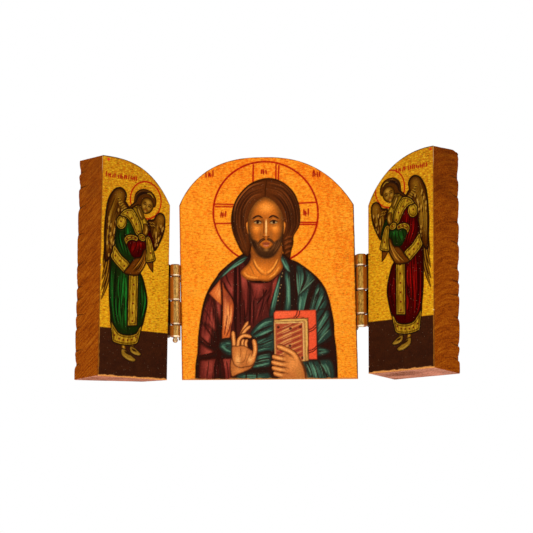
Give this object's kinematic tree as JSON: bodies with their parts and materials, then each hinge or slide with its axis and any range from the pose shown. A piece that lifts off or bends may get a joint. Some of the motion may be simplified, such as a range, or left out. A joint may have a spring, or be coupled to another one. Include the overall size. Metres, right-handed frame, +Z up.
{
  "type": "hinged triptych icon",
  "caption": "Small wooden triptych icon: an arched painted centre panel with two folding painted wings on brass butt hinges, standing half open.",
  "frame": {"origin": "on the ground, in the middle of the footprint with the wings half open", "axes": "+Z up, +X to the viewer's right, and the painted faces look towards -Y"},
  "size_m": [0.1294, 0.0358, 0.0768],
  "materials": {
    "painted_wood": "stained wood, with the front varnished over a painted gold ground",
    "hinge_brass": "satin, dulled in the joints",
    "nail_brass": "satin"
  },
  "bodies": {
    "centre": {"centre_panel": "painted_wood", "left_panel_leaf": "hinge_brass", "left_panel_leaf_lower_nail": "nail_brass", "left_panel_leaf_upper_nail": "nail_brass", "left_hinge_pin": "hinge_brass", "right_panel_leaf": "hinge_brass", "right_panel_leaf_lower_nail": "nail_brass", "right_panel_leaf_upper_nail": "nail_brass", "right_hinge_pin": "hinge_brass"},
    "left_wing": {"left_wing": "painted_wood", "left_wing_leaf": "hinge_brass", "left_wing_leaf_lower_nail": "nail_brass", "left_wing_leaf_upper_nail": "nail_brass"},
    "right_wing": {"right_wing": "painted_wood", "right_wing_leaf": "hinge_brass", "right_wing_leaf_lower_nail": "nail_brass", "right_wing_leaf_upper_nail": "nail_brass"}
  },
  "joints": [
    {"name": "left_wing_hinge", "type": "hinge", "parent": "centre", "child": "left_wing", "pos_m": [-0.0311, 0.00345, 0.0275], "axis": [0, 0, 1], "range_deg": [-43, 142]},
    {"name": "right_wing_hinge", "type": "hinge", "parent": "centre", "child": "right_wing", "pos_m": [0.0321, 0.00345, 0.0307], "axis": [0, 0, -1], "range_deg": [-48.3, 136.7]}
  ]
}
